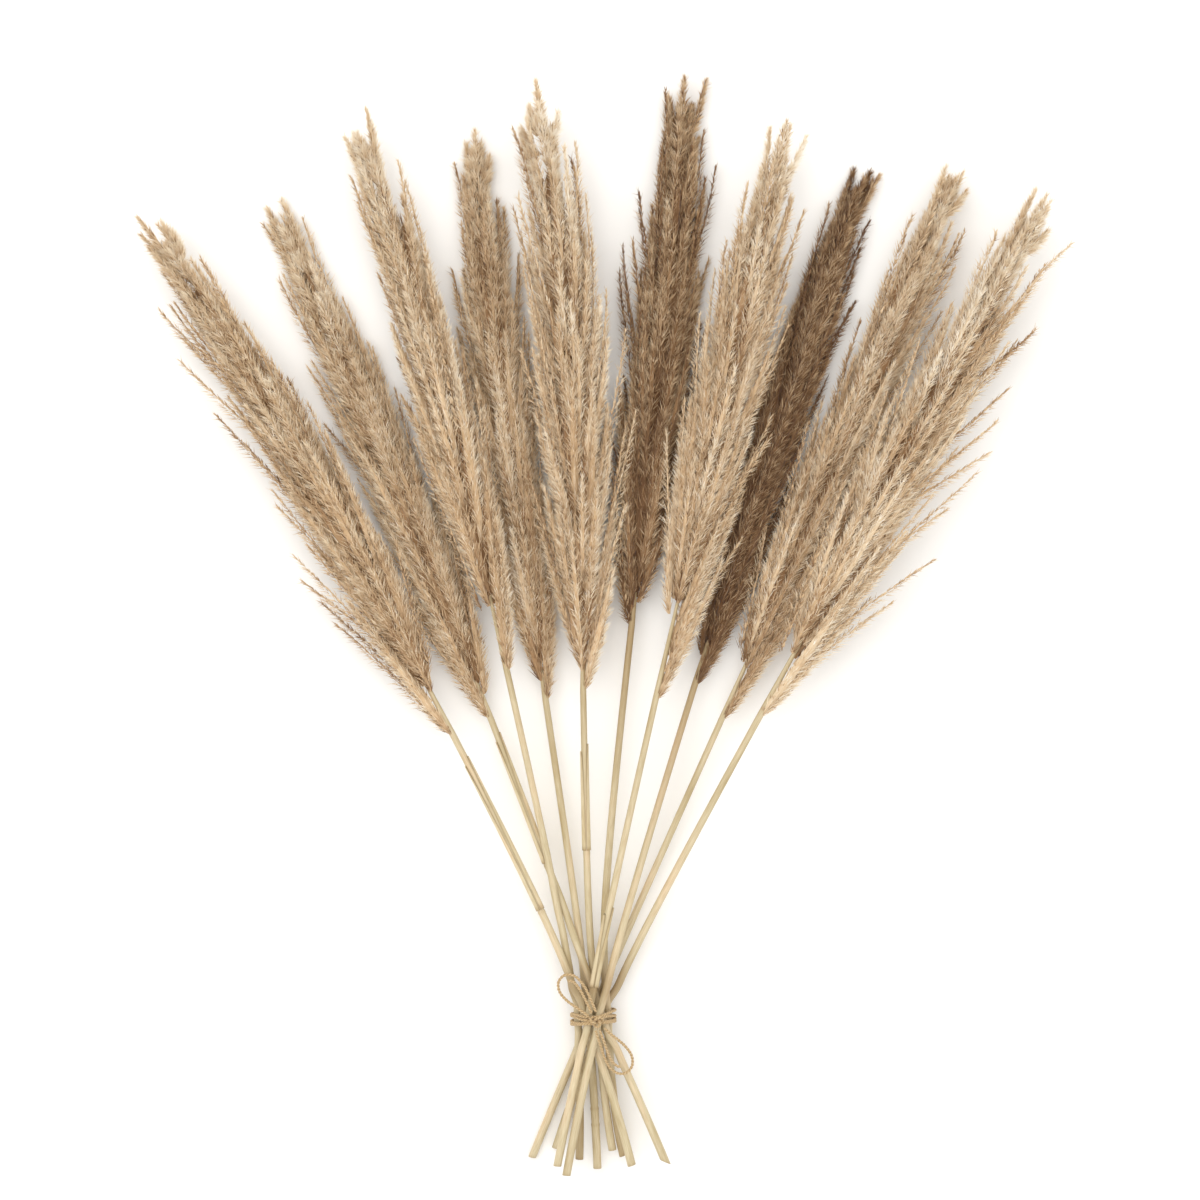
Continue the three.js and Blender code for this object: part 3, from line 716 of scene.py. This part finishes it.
def branch_bodies(branches, radius, tone):
    """The mass of hair inside each branch: a closed spindle along its line, with the branch's profile."""
    turn = 2 * math.pi * np.arange(BODY_SIDES) / BODY_SIDES
    profile = branch_profile(np.linspace(0, 1, BRANCH_STEPS))
    ring = (
        branches.side[:, :, None] * np.cos(turn)[:, None]
        + branches.out[:, :, None] * np.sin(turn)[:, None]
    )
    reach = radius[:, None] * profile[None]
    grid = branches.lines[:, :, None] + ring * reach[:, :, None, None]
    _, pattern, _ = solid_from_grid(grid[0])
    poles = np.stack([grid[:, 0].mean(1), grid[:, -1].mean(1)], axis=1)
    vertices = np.concatenate([grid.reshape(branches.count, -1, 3), poles], axis=1)
    each = vertices.shape[1]
    faces = pattern[None] + each * np.arange(branches.count)[:, None, None]
    return vertices.reshape(-1, 3), faces.reshape(-1, 3), np.repeat(tone, each)


def branch_hairs(branches, radius, number, lengths, widths, flare, tone, rng):
    """Fine hairs over all but the inward side of each branch. A hair is rooted near its skin and points
    along the branch, leaning away from it by the flare, most wildly at the branch's end. They grow in
    clumps, each CLUMP_LENGTH long: within one, the skin rises and the hairs turn from brown to pale. Hairs
    beside a branch are darker, which is painted shade in the clefts between the branches, and hairs at its
    root are darker too."""
    u = branches.spread_shares(number, rng)
    turn = rng.uniform(-0.68, 0.68, u.shape) * math.pi
    profile = branch_profile(u)
    away = (
        branches.at(branches.out, u) * np.cos(turn)[..., None]
        + branches.at(branches.side, u) * np.sin(turn)[..., None]
    )
    clumps = np.maximum(1, branches.length / (CLUMP_LENGTH * MM))[:, None]
    rise = (u * clumps + rng.random((branches.count, 1)) + 0.12 * np.sin(2 * turn)) % 1
    skin = radius[:, None] * profile * (0.72 + 0.42 * rise) * rng.uniform(0.8, 1.05, u.shape)
    root = branches.at(branches.lines, u) + away * skin[..., None]
    lean = (flare * (0.45 + 0.55 * profile) * rng.uniform(0.6, 1.4, u.shape))[..., None]
    wild = (HAIR_WILDNESS * (1 + u))[..., None] * rng.normal(0, 1, root.shape)
    direction = branches.at(branches.along, u) + lean * away + wild
    # The cosine term is painted shade: hairs that face sideways, into the clefts, are darker than those that
    # face out
    level = tone[:, None] + 0.1 * np.cos(turn) - 0.24 * np.exp(-u / 0.1) + CLUMP_CONTRAST * (rise**0.6 - 0.62)
    level = level + rng.normal(0, 0.075, u.shape)
    long = mix(*lengths, rng.random(u.shape)) * (1 - 0.3 * u) * MM
    thick = mix(*widths, rng.random(u.shape)) * MM
    root, direction, long, thick, level = flat_rows(root, direction, long, thick, level)
    return spikes(root, direction, long, thick, (level - 0.1, level + 0.08))


def branch_grains(branches, turn, off, lengths, widths, splay, tone, rng):
    """Slim husks along each branch's line, the smallest at its tip. turn gives each one's direction from the
    line, where 0 is out of the plume. Its distance from the line is off times the branch's profile."""
    u = branches.spread_shares(turn.shape[1], rng)
    away = (
        branches.at(branches.out, u) * np.cos(turn)[..., None]
        + branches.at(branches.side, u) * np.sin(turn)[..., None]
    )
    root = branches.at(branches.lines, u) + away * (off[:, None] * branch_profile(u))[..., None]
    wild = rng.normal(0, 1, root.shape)
    direction = branches.at(branches.along, u) + splay * away + 0.12 * wild
    size = (1 - 0.4 * u) * MM
    long = mix(*lengths, rng.random(u.shape)) * size
    wide = mix(*widths, rng.random(u.shape)) * size
    level = tone[:, None] + rng.normal(0, 0.07, u.shape)
    root, direction, wild, long, wide, level = flat_rows(root, direction, wild, long, wide, level)
    return slivers(root, direction, np.cross(direction, wild), long, wide, 0.6 * wide, 0.4,
                   (level - 0.12, level, level + 0.08))


def branch_twigs(branches, thickness, tone):
    """The twig of each branch, as a chain of slim pieces that run into each other."""
    start, step = flat_rows(branches.lines[:, :-1], branches.lines[:, 1:] - branches.lines[:, :-1])
    reach = np.linalg.norm(step, axis=1) * 1.15
    wide = np.full(len(reach), thickness * MM)
    level = np.repeat(tone, BRANCH_STEPS - 1)
    return slivers(start, step, np.cross(step, UP), reach, wide, wide, 0.4, (level, level, level))


def plume_shade_core(plume, look):
    """A dark solid inside the plume, where its branches leave it, which is painted shade: it stands for the
    shade deep in the hair and shows in the clefts between the branches. It is CORE_SHARE of the plume's half
    sizes and rounds off at both ends, as the square root of one less the sixth power of the share of the way
    from its middle to an end."""
    above, below = CORE_ENDS
    s = np.linspace((above + look["bare"][1]) * MM, plume.length - below * MM, CORE_ROWS)
    share = np.linspace(-1, 1, CORE_ROWS)
    r = CORE_SHARE * (1 - share**6) ** 0.5 + 0.02
    angle = 2 * math.pi * np.arange(CORE_SIDES) / CORE_SIDES
    grid = plume.place(*np.broadcast_arrays(s[:, None], r[:, None], angle[None]))
    vertices, faces, _ = solid_from_grid(grid)
    return vertices, faces, np.full(len(vertices), PAINTED_SHADE_CORE_TONE + 0.5 * look["tone"])


def plume_branches(plume, look, rng):
    """The side branches that make the body: a spiral of soft spindles, shingled up the plume, long at the
    base and short near the tip, with fine hairs over them and dark husks on their sides, which are partly
    brown glumes and partly painted shade in the clefts between them. At the tip every third one stays close
    to the middle line, so that the plume ends in a full tuft."""
    weight = np.cumsum(plume.wide + 3 * MM)
    order = np.arange(BRANCHES)
    s = np.interp((order + rng.random(BRANCHES)) / BRANCHES * weight[-1], weight, plume.along)
    s = np.clip(s - BRANCH_OVERHANG * MM, 0, plume.length - LAST_ROOT * MM)
    angle = GOLDEN_ANGLE * order + rng.normal(0, 0.25, BRANCHES)
    far = look["spread"] * rng.uniform(*BRANCH_REACH, BRANCHES)
    far *= 1 + SIDE_REACH * rng.random(BRANCHES) * np.cos(angle) ** 2
    far = np.where((s > TIP_ROOTS * plume.length) & (order % 3 == 0), TIP_REACH, far)
    kept = ~plume.bared(look, s, angle)
    s, angle, far = s[kept], angle[kept], far[kept]
    height = s / plume.length
    tall = mix(*BRANCH_LENGTH, height) * rng.uniform(0.75, 1.2, len(s)) * MM
    tall = np.minimum(tall, plume.length - TIP_SPREAD * rng.random(len(s)) ** 1.7 * MM - s)
    tall = np.maximum(tall, SHORTEST * MM)
    branches = Branches(plume, s, angle, 0.2, far, tall, 0.7, rng)
    radius = mix(*BRANCH_RADIUS, rng.random(len(s))) * (1 - 0.4 * height**2) * MM
    tone = BRANCH_TONE + look["tone"] + 0.1 * height**3 + rng.normal(0, 0.065, len(s))
    bodies = branch_bodies(branches, 0.75 * (1 - 0.85 * height**2) * radius, tone - 0.14 + 0.1 * height)
    hairs = branch_hairs(branches, radius, HAIRS, HAIR_LENGTH, HAIR_WIDTH, HAIR_FLARE, tone, rng)
    turn = rng.uniform(-0.6, 0.6, (len(s), SPECKS)) * math.pi
    specks = branch_grains(
        branches, turn, 1.12 * radius, SPECK_LENGTH, SPECK_WIDTH, 0.5, tone + SPECK_TONE, rng)
    return [bodies, hairs, specks]


def plume_inside(plume, look, rng):
    """Brown branches close to the middle line, which show in the clefts between the outer ones."""
    order = np.arange(INNER_BRANCHES)
    s = (order + rng.random(INNER_BRANCHES)) / INNER_BRANCHES * (plume.length - INNER_CLEAR * MM)
    angle = GOLDEN_ANGLE * order
    kept = s > look["bare"][1] * MM
    s, angle = s[kept], angle[kept]
    far = np.full(len(s), INNER_SPREAD)
    branches = Branches(plume, s, angle, 0.1, far, np.full(len(s), INNER_LENGTH * MM), 0.7, rng)
    radius = np.full(len(s), INNER_RADIUS * MM)
    tone = INNER_TONE + 0.6 * look["tone"] + rng.normal(0, 0.04, len(s))
    bodies = branch_bodies(branches, 0.8 * radius, tone - 0.06)
    hairs = branch_hairs(
        branches, radius, INNER_HAIRS, INNER_HAIR_LENGTH, INNER_HAIR_WIDTH, 0.3, tone, rng)
    return [bodies, hairs]


def plume_wisps(plume, look, rng):
    """Loose side branches that part from the body and stand out on the left and on the right: a twig with
    grain-like husks on both sides by turns, and silks. Most stand out little and a few stand out far."""
    parts = []
    for way, number, stand in zip((-1, 1), look["wisps"], look["stand"]):
        s = (np.arange(number) + rng.random(number)) / number * WISP_ROOTS * plume.length
        angle = np.where(way > 0, 0.0, math.pi) + rng.normal(0, 0.4, number)
        tall = rng.uniform(*WISP_LENGTH, number) * (1 - 0.35 * s / plume.length) * MM
        tall = np.minimum(tall, plume.length - 6 * MM - s)
        wide = plume.sample(plume.wide, s + tall)[:, 0]
        out = (2 + stand * rng.random(number) ** 1.6) * MM
        far = 1.05 + out / np.maximum(wide, 3 * MM)
        kept = ~plume.bared(look, s, angle)
        s, angle, far, tall = s[kept], angle[kept], far[kept], tall[kept]
        number = len(s)
        branches = Branches(plume, s, angle, 0.5, np.minimum(far, WISP_REACH), tall, 1.2, rng)
        tone = WISP_TONE + look["tone"] + rng.normal(0, 0.06, number)
        slim = rng.uniform(*WISP_RADIUS, number) * MM
        parts.append(branch_twigs(branches, TWIG_WIDTH, tone - 0.1))
        by_turns = np.tile(np.where(np.arange(GRAINS) % 2 == 0, -0.5, 0.5) * math.pi, (number, 1))
        parts.append(branch_grains(
            branches, by_turns, 0.5 * slim, GRAIN_LENGTH, GRAIN_WIDTH, 0.62, tone + 0.04, rng))
        parts.append(branch_hairs(
            branches, slim, WISP_HAIRS, HAIR_LENGTH, WISP_HAIR_WIDTH, 0.8, tone + 0.09, rng))
    return parts


def make_plume(number, material):
    """A flower head: a dark inside (a core of painted shade and brown inner branches), side branches over it
    and loose ones beside it.
    """
    look = PLUMES[number - 1]
    rng = np.random.default_rng(number)
    plume = Plume(number)
    parts = [plume_shade_core(plume, look)]
    parts += plume_inside(plume, look, rng)
    parts += plume_branches(plume, look, rng)
    parts += plume_wisps(plume, look, rng)
    vertices, faces, tone = joined(parts)
    vertices = keep_off_floor(vertices, rng)
    add_piece(
        f"flower_head_{number:02d}", vertices, faces, material, f"plume_{number:02d}",
        np.clip(tone, 0, 1), smooth=False)


# ---------------------------------------------------------------- twine

def twine_solid(path, reference=UP, phase=0.0):
    """Two plies twisted together: the outline round two circles side by side, turned as it goes along the
    path, and drawn in at both ends. Tone is low in the grooves between the plies: painted shade."""
    along = arc_lengths(path)
    _, across, above = frames(path, reference)
    angle = 2 * math.pi * np.arange(TWINE_COLUMNS) / TWINE_COLUMNS
    turned = angle[None] - 2 * math.pi * (along / (PLY_TWIST * MM))[:, None] + phase
    sine = np.minimum(PLY_APART / PLY_RADIUS * np.abs(np.sin(turned)), 1)
    outline = PLY_APART * np.abs(np.cos(turned)) + PLY_RADIUS * np.sqrt(1 - sine**2)
    close = np.clip(np.minimum(along, along[-1] - along) / (0.5 * MM), 0, 1) ** 0.5
    reach = TWINE_DIAMETER / 2 * MM * outline * mix(0.35, 1, close)[:, None]
    ring = across[:, None] * np.cos(angle)[None, :, None] + above[:, None] * np.sin(angle)[None, :, None]
    vertices, faces, corners = solid_from_grid(path[:, None] + ring * reach[..., None])
    corners = np.stack([corners[..., 0], along[corners[..., 1].astype(int)] + phase], axis=-1)
    # Painted shade: darker in the grooves between the plies
    tone = mix(*TWINE_TONES, np.clip((outline - 0.5) / 0.4, 0, 1))
    tone = np.concatenate([tone.ravel(), [0.4, 0.4]])
    return vertices, faces, corners, tone


def knot_middle():
    """The middle of the modelled knot."""
    low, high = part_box("twine_knot")
    return (np.array(low) + np.array(high)) / 2


def make_strand(name, node, route, material, phase):
    """A bow loop or a loose end along its route from the knot."""
    points = knot_middle() + np.array(route) * MM
    path = smooth_path(points, 0.35 * MM)
    vertices, faces, corners, tone = twine_solid(path, UP, phase)
    piece = add_piece(name, vertices, faces, material, node, tone, corners)
    return piece, points, arc_lengths(path)[-1]


def make_loop(name, node, route, material, phase):
    """A bow loop, which goes out of the knot and back into it."""
    piece, points, length = make_strand(name, node, route, material, phase)


def make_wrap(material):
    """The wrapping: twine wound round the stems at the modelled winding's own reach in each direction. Each
    turn rises by the winding's height over the turns, and wanders a little, as twine wound by hand does. On
    top, where the knot grips it, it is drawn in by WRAP_PINCH."""
    points = node_points("twine_wrap")
    low, high = points.min(0), points.max(0)
    middle = (low + high) / 2
    away = points - middle
    angle = np.arctan2(away[:, 2], away[:, 0])
    reach = np.hypot(away[:, 0], away[:, 2])
    sector = (2 * math.pi) / WRAP_SIDES
    which = np.round((angle - math.pi / 2) / sector).astype(int) % WRAP_SIDES
    radius = np.array([(reach[which == k].min() + reach[which == k].max()) / 2 for k in range(WRAP_SIDES)])
    turn = np.arange(TURNS * TURN_POINTS + 1) / TURN_POINTS
    around = 2 * math.pi * turn
    at = np.concatenate([radius, radius[:1]])
    r = np.interp((turn % 1) * WRAP_SIDES, np.arange(WRAP_SIDES + 1), at)
    half = (high[1] - low[1]) / 2 - TWINE_DIAMETER / 2 * MM
    y = mix(-half, half, turn / TURNS) + WRAP_WANDER * MM * np.sin(around * 1.37 + 1)
    y *= 1 - WRAP_PINCH * np.clip(np.cos(around), 0, 1) ** 4
    from_top = around + math.pi / 2
    path = middle + np.stack([r * np.cos(from_top), y, r * np.sin(from_top)], axis=1)
    path = smooth_path(path, 0.4 * MM)
    vertices, faces, corners, tone = twine_solid(path, np.array([0.0, 1.0, 0.0]))
    vertices = keep_off_floor(vertices, np.random.default_rng(7))
    add_piece("jute_wrapping", vertices, faces, material, "twine_wrap", tone, corners)


def make_knot(material):
    """The knot: one length of twine in a trefoil, which crosses itself three times, drawn tight."""
    low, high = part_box("twine_knot")
    half = (np.array(high) - np.array(low)) / 2 - TWINE_DIAMETER / 2 * MM
    t = np.linspace(0.05, 2 * math.pi - 0.05, 140)
    shape = np.stack([
        (np.sin(t) + 2 * np.sin(2 * t)) / 2.6, (np.cos(t) - 2 * np.cos(2 * t)) / 3, -np.sin(3 * t),
    ], axis=1)
    path = smooth_path(knot_middle() + shape * half, 0.3 * MM)
    vertices, faces, corners, tone = twine_solid(path)
    add_piece("bow_knot", vertices, faces, material, "twine_knot", tone, corners)


# ---------------------------------------------------------------- the scene

def add_camera():
    """A long lens straight above the fan, with the plume tips at the top of the view."""
    data = bpy.data.cameras.new("camera")
    data.lens = LENS
    data.sensor_width = SENSOR
    camera = bpy.data.objects.new("camera", data)
    camera.location = (*VIEW_CENTRE, VIEW_HEIGHT + VIEW_WIDTH * LENS / SENSOR)
    bpy.context.scene.collection.objects.link(camera)
    bpy.context.scene.camera = camera


def add_light(name, place, size, power):
    """A square soft light that faces the origin."""
    data = bpy.data.lights.new(name, "AREA")
    data.size = size
    data.energy = power
    light = bpy.data.objects.new(name, data)
    light.location = place
    way = unit(-np.array(place))
    light.rotation_euler = (math.acos(-way[2]), 0, math.atan2(way[1], way[0]) - math.pi / 2)
    bpy.context.scene.collection.objects.link(light)


def add_studio():
    """A white floor under a white sky and soft light, strongest from the upper left."""
    half = 4.0
    mesh = bpy.data.meshes.new("floor")
    square = [(-half, -half, 0), (half, -half, 0), (half, half, 0), (-half, half, 0)]
    mesh.from_pydata(square, [], [(0, 1, 2, 3)])
    mesh.materials.append(floor_material())
    floor = bpy.data.objects.new("floor", mesh)
    bpy.context.scene.collection.objects.link(floor)
    add_light("key", (-0.55, 0.5, 1.9), 2.2, 21)
    add_light("fill", (1.0, -0.6, 1.9), 2.4, 8)
    world = bpy.data.worlds.new("studio")
    world.use_nodes = True
    background = world.node_tree.nodes["Background"]
    background.inputs["Color"].default_value = colour("#ffffff")
    background.inputs["Strength"].default_value = 0.96
    bpy.context.scene.world = world
    bpy.context.scene.view_settings.view_transform = "Standard"


def build():
    """The camera, the tie, the ten stalks from left to right, and the studio."""
    add_camera()
    jute = jute_material()
    make_loop("bow_loop_left", "twine_loop_left", LOOP_LEFT, jute, 0.0)
    make_loop("bow_loop_right", "twine_loop_right", LOOP_RIGHT, jute, 1.0)
    make_strand("loose_end_left", "twine_end_left", END_LEFT, jute, 2.0)
    make_strand("loose_end_right", "twine_end_right", END_RIGHT, jute, 3.0)
    make_wrap(jute)
    make_knot(jute)
    straw = straw_material("dried_reed_culm", "#cfc19f", "#b8a67e", "#dfc8a5")
    papery = straw_material("dry_leaf_sheath", "#d6c7a4", "#c4b188", "#e3c9a4")
    husks = husk_material()
    for number in range(1, 11):
        make_stem(number, straw)
        if f"leaf_sheath_{number:02d}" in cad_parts:
            make_sheath(number, papery)
        make_plume(number, husks)
    add_studio()


build()
